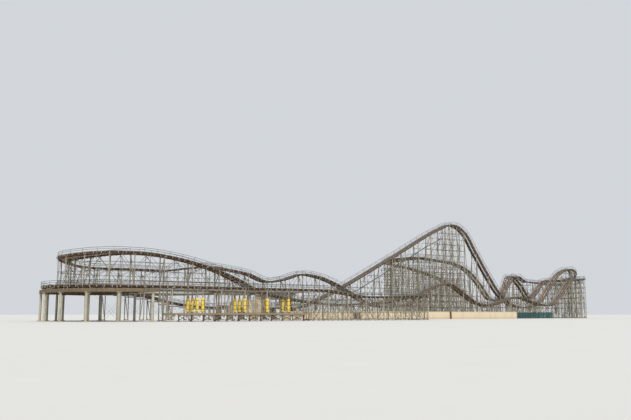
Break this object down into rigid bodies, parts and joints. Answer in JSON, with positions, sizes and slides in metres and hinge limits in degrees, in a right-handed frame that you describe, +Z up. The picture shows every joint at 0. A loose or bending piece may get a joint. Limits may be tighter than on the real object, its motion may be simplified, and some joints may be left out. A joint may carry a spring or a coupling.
{
  "type": "wooden-track roller coaster, 1:10 scale model",
  "caption": "Twisting out-and-back wooden-track coaster on slim trestles, with lift hill, banked turns, station, pier deck and one rolling car, as a 1:10 scale model",
  "frame": {"origin": "on the floor under the middle of the ride's outline", "axes": "+X along the ride towards the far turn, +Y from the front lane to the back lane, +Z up"},
  "size_m": [22.9006, 6.5638, 3.3963],
  "materials": {
    "trestle_steel": "weathered pale grey-green paint",
    "bracing_steel": "weathered pale grey-green paint",
    "deck_timber": "weathered brown timber",
    "track_rail": "dark red-brown laminated timber with a steel strap",
    "handrail_steel": "grey paint",
    "dark_steel": "dark greased steel",
    "timber_wall": "light timber",
    "white_paint": "white paint",
    "tan_panel": "matt tan paint",
    "yellow_pad": "yellow coated fabric over foam",
    "column_paint": "weathered pale paint",
    "fence_paint": "dark teal paint",
    "car_paint": "gloss red paint",
    "wheel_steel": "bare steel",
    "lap_bar": "black padding on a steel bar"
  },
  "bodies": {
    "ride": {"bents_lift": "trestle_steel", "bracing_lift": "bracing_steel", "deck_lift": "deck_timber", "rails_lift": "track_rail", "handrails_lift": "handrail_steel", "bents_drop": "trestle_steel", "bracing_drop": "bracing_steel", "deck_drop": "deck_timber", "rails_drop": "track_rail", "handrails_drop": "handrail_steel", "bents_back": "trestle_steel", "bracing_back": "bracing_steel", "deck_back": "deck_timber", "rails_back": "track_rail", "handrails_back": "handrail_steel", "bents_second": "trestle_steel", "bracing_second": "bracing_steel", "deck_second": "deck_timber", "rails_second": "track_rail", "handrails_second": "handrail_steel", "bents_hill": "trestle_steel", "bracing_hill": "bracing_steel", "deck_hill": "deck_timber", "rails_hill": "track_rail", "handrails_hill": "handrail_steel", "bents_fan": "trestle_steel", "bracing_fan": "bracing_steel", "deck_fan": "deck_timber", "rails_fan": "track_rail", "handrails_fan": "handrail_steel", "bents_brake": "trestle_steel", "bracing_brake": "bracing_steel", "deck_brake": "deck_timber", "rails_brake": "track_rail", "handrails_brake": "handrail_steel", "bents_station": "trestle_steel", "bracing_station": "bracing_steel", "deck_station": "deck_timber", "rails_station": "track_rail", "handrails_station": "handrail_steel", "lift_rack": "dark_steel", "chain_return": "dark_steel", "platform": "timber_wall", "station_posts": "timber_wall", "station_roof": "white_paint", "station_booth": "tan_panel", "turn_frame": "dark_steel", "turn_columns": "column_paint", "fence": "fence_paint", "pier_deck": "deck_timber", "piles": "white_paint", "post_pads": "yellow_pad", "screen_wall": "tan_panel", "pier_steps": "handrail_steel"},
    "car": {"car_tub": "car_paint", "car_chassis": "dark_steel"},
    "front_wheels": {"wheelset_front": "wheel_steel"},
    "rear_wheels": {"wheelset_rear": "wheel_steel"},
    "front_bar": {"lap_bar_front": "lap_bar"},
    "rear_bar": {"lap_bar_rear": "lap_bar"}
  },
  "joints": [
    {"name": "car_on_rails", "type": "slide", "parent": "ride", "child": "car", "axis": [1, 0, 0], "range_m": [-0.65, 0.45]},
    {"name": "front_axle", "type": "hinge", "parent": "car", "child": "front_wheels", "pos_m": [-4.938, 0.775, 0.3853], "axis": [0, 1, 0], "continuous": true},
    {"name": "rear_axle", "type": "hinge", "parent": "car", "child": "rear_wheels", "pos_m": [-5.062, 0.775, 0.3853], "axis": [0, 1, 0], "continuous": true},
    {"name": "front_lap_bar", "type": "hinge", "parent": "car", "child": "front_bar", "pos_m": [-4.937, 0.775, 0.4373], "axis": [0, 1, 0], "range_deg": [0, 80]},
    {"name": "rear_lap_bar", "type": "hinge", "parent": "car", "child": "rear_bar", "pos_m": [-5.033, 0.775, 0.4373], "axis": [0, 1, 0], "range_deg": [0, 80]}
  ]
}
